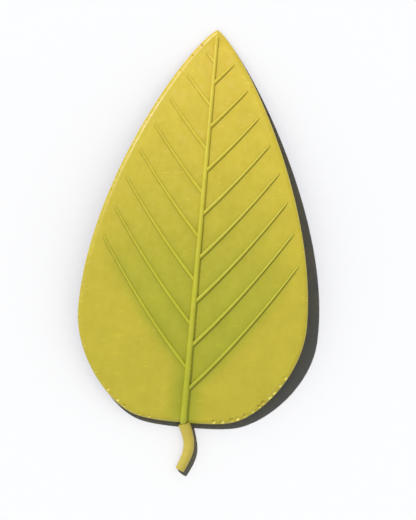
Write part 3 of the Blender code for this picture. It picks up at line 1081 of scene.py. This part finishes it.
class PICKEDLEAF_OT_blade(bpy.types.Operator):
    """Build the arched blade with its rounded, dented margin"""
    bl_idname = "picked_leaf.blade"
    bl_label = "Blade"

    def execute(self, context):
        scene = context.scene
        shape, dents = scene.picked_leaf_shape, scene.picked_leaf_margin
        material = blade_material(scene.picked_leaf_colours, scene.picked_leaf_ribs)
        margin = guide_curve("margin_path", [margin_points(shape)])
        smooth = grow("smooth_blade", blade_tree(), {
            "Margin Path": margin, "Rows": shape.rows, "Columns": shape.columns,
            "Foot Y": BASE_Y, "Base Margin": shape.base_margin, "Blade Length": BLADE_LENGTH,
            "Half Width": shape.half_width, "Thickness": shape.thickness, "Edge Rounding": shape.rounding,
            "Arch Base": shape.arch_base, "Arch Rise": shape.arch_rise, "Arch Fall": shape.arch_fall,
            "Arch Tip": shape.arch_tip, "Droop": shape.droop, "Landing": shape.landing,
            "Unevenness": shape.unevenness, "Material": material,
        })
        values = {"Blade": smooth, "Margin Path": margin, "Seed": dents.seed, "Material": material}
        for row, sizes in dent_sizes(dents).items():
            for label, size in zip(("Count", "Length", "Width", "Depth", "Inset", "Jitter"), sizes):
                values[f"{row} {label}"] = size
        blade = grow("blade", dent_tree(), values)
        blade.data.set_sharp_from_angle(angle=math.radians(38.0))
        drop(smooth)
        drop(margin)
        show_as_leaf(blade)
        return {"FINISHED"}


class PICKEDLEAF_OT_midrib(bpy.types.Operator):
    """Build the midrib along the middle of the blade"""
    bl_idname = "picked_leaf.midrib"
    bl_label = "Midrib"

    def execute(self, context):
        ribs = context.scene.picked_leaf_ribs
        line = [Vector((0.0, BASE_Y + place, 0.0)) for place in (ribs.midrib_from, ribs.midrib_to)]
        grow_ribs(context.scene, "midrib", [line], (ribs.midrib_radius, ribs.midrib_end_radius), 1.2 * MM)
        return {"FINISHED"}


class PICKEDLEAF_OT_side_veins(bpy.types.Operator):
    """Build the side veins, alternating along the midrib"""
    bl_idname = "picked_leaf.side_veins"
    bl_label = "Side Veins"

    def execute(self, context):
        ribs = context.scene.picked_leaf_ribs
        margin = margin_points(context.scene.picked_leaf_shape)
        lines = [vein_points(ribs, side, number, margin)
                 for side in (1, -1) for number in range(ribs.veins_per_side)]
        grow_ribs(context.scene, "side_veins", lines, (ribs.vein_radius, ribs.vein_end_radius), 0.0)
        return {"FINISHED"}


class PICKEDLEAF_OT_stalk(bpy.types.Operator):
    """Build the short curved stalk"""
    bl_idname = "picked_leaf.stalk"
    bl_label = "Stalk"

    def execute(self, context):
        scene = context.scene
        sizes = scene.picked_leaf_stalk
        path = guide_curve("stalk_path", [stalk_points(sizes, 120)])
        stalk = grow("stalk", stalk_tree(), {
            "Path": path, "Top Radius": sizes.top_radius, "Cut Radius": sizes.cut_radius,
            "Edge Easing": sizes.easing, "Material": stalk_material(scene.picked_leaf_colours),
        })
        stalk.data.set_sharp_from_angle(angle=math.radians(50.0))
        drop(path)
        show_as_leaf(stalk)
        return {"FINISHED"}


class PICKEDLEAF_OT_stage(bpy.types.Operator):
    """Set up the floor, the lights and the camera"""
    bl_idname = "picked_leaf.stage"
    bl_label = "Studio"

    def execute(self, context):
        scene = context.scene
        stage = scene.picked_leaf_stage
        make_floor(stage)
        make_lights(scene, stage)
        make_camera(scene, stage)
        scene.view_settings.view_transform = "Standard"
        return {"FINISHED"}


def make_floor(stage):
    half = 0.5 * stage.floor_size
    mesh = bpy.data.meshes.new("floor")
    form = bmesh.new()
    bmesh.ops.create_grid(form, x_segments=4, y_segments=4, size=half)
    form.to_mesh(mesh)
    form.free()
    mesh.materials.append(floor_material(stage))
    floor = bpy.data.objects.new("floor", mesh)
    bpy.context.scene.collection.objects.link(floor)


def add_sun(name, strength, angle, direction, reached):
    """A far light that reaches only these pieces; whatever is in its way still casts a shadow."""
    light = bpy.data.lights.new(name, "SUN")
    light.energy = strength
    light.angle = angle
    lamp = bpy.data.objects.new(name, light)
    lamp.rotation_euler = direction.to_track_quat("-Z", "Y").to_euler()
    bpy.context.scene.collection.objects.link(lamp)
    receivers = bpy.data.collections.new(name + "_reaches")
    for piece in reached:
        receivers.objects.link(piece)
    lamp.light_linking.receiver_collection = receivers
    return lamp


def make_lights(scene, stage):
    turn = stage.camera_turn - stage.key_heading
    flat = math.cos(stage.key_elevation)
    key_way = Vector((flat * math.cos(turn), flat * math.sin(turn), -math.sin(stage.key_elevation)))
    leaf = [needed_piece(name) for name in LEAF_PIECES]
    add_sun("floor_key", stage.key_strength, stage.key_angle, key_way, [needed_piece("floor")])
    add_sun("leaf_key", stage.leaf_key_strength, stage.key_angle, key_way, leaf)
    fill = add_sun("leaf_fill", stage.fill_strength, math.pi, Vector((0.0, 0.0, -1.0)), leaf)
    fill.visible_glossy = False

    world = bpy.data.worlds.new("studio")
    world.use_nodes = True
    tree = world.node_tree
    tree.nodes.clear()
    # The camera sees plain white; everything else is lit by the room's faint colour
    seen = add(tree, "ShaderNodeLightPath").outputs["Is Camera Ray"]
    glow = add(tree, "ShaderNodeBackground")
    feed(tree, glow.inputs["Color"], blend_colours(tree, seen, stage.room_colour, (1.0, 1.0, 1.0)))
    feed(tree, glow.inputs["Strength"], blend_numbers(tree, seen, stage.room_light, 1.0))
    end = add(tree, "ShaderNodeOutputWorld")
    feed(tree, end.inputs["Surface"], glow.outputs[0])
    scene.world = world


def make_camera(scene, stage):
    """A long lens straight above the leaf."""
    lens = bpy.data.cameras.new("camera")
    lens.lens = stage.lens
    lens.sensor_width = SENSOR
    lens.sensor_fit = "VERTICAL"
    lens.sensor_height = SENSOR
    distance = stage.view_height * stage.lens / SENSOR
    lens.clip_end = 20.0
    camera = bpy.data.objects.new("camera", lens)
    level = 0.5 * (CAD_LOW.z + CAD_HIGH.z)
    camera.location = (stage.camera_x, stage.camera_y, level + distance)
    camera.rotation_euler = (0.0, 0.0, stage.camera_turn)
    scene.collection.objects.link(camera)
    scene.camera = camera


class PICKEDLEAF_PT_panel(bpy.types.Panel):
    """Lists the pieces of the leaf and its studio"""
    bl_idname = "PICKEDLEAF_PT_panel"
    bl_label = "Picked Leaf"
    bl_space_type = "VIEW_3D"
    bl_region_type = "UI"
    bl_category = "Picked Leaf"

    def draw(self, context):
        for maker in MAKERS:
            self.layout.operator(maker.bl_idname)
        for label in GROUPS:
            settings = getattr(context.scene, label)
            box = self.layout.box()
            for name in type(settings).__annotations__:
                box.prop(settings, name)


# The order in which the leaf is built
MAKERS = (
    PICKEDLEAF_OT_blade, PICKEDLEAF_OT_midrib, PICKEDLEAF_OT_side_veins, PICKEDLEAF_OT_stalk,
    PICKEDLEAF_OT_stage,
)
GROUPS = {
    "picked_leaf_shape": PickedLeafShape, "picked_leaf_margin": PickedLeafMargin,
    "picked_leaf_ribs": PickedLeafRibs, "picked_leaf_stalk": PickedLeafStalk,
    "picked_leaf_colours": PickedLeafColours, "picked_leaf_stage": PickedLeafStage,
}


def register():
    for kind in (*GROUPS.values(), *MAKERS, PICKEDLEAF_PT_panel):
        bpy.utils.register_class(kind)
    for label, kind in GROUPS.items():
        setattr(bpy.types.Scene, label, bpy.props.PointerProperty(type=kind))


def unregister():
    for label in GROUPS:
        delattr(bpy.types.Scene, label)
    for kind in reversed((*GROUPS.values(), *MAKERS, PICKEDLEAF_PT_panel)):
        bpy.utils.unregister_class(kind)


def main():
    register()
    bpy.ops.picked_leaf.blade()
    bpy.ops.picked_leaf.midrib()
    bpy.ops.picked_leaf.side_veins()
    bpy.ops.picked_leaf.stalk()
    bpy.ops.picked_leaf.stage()


if __name__ == "__main__":
    main()
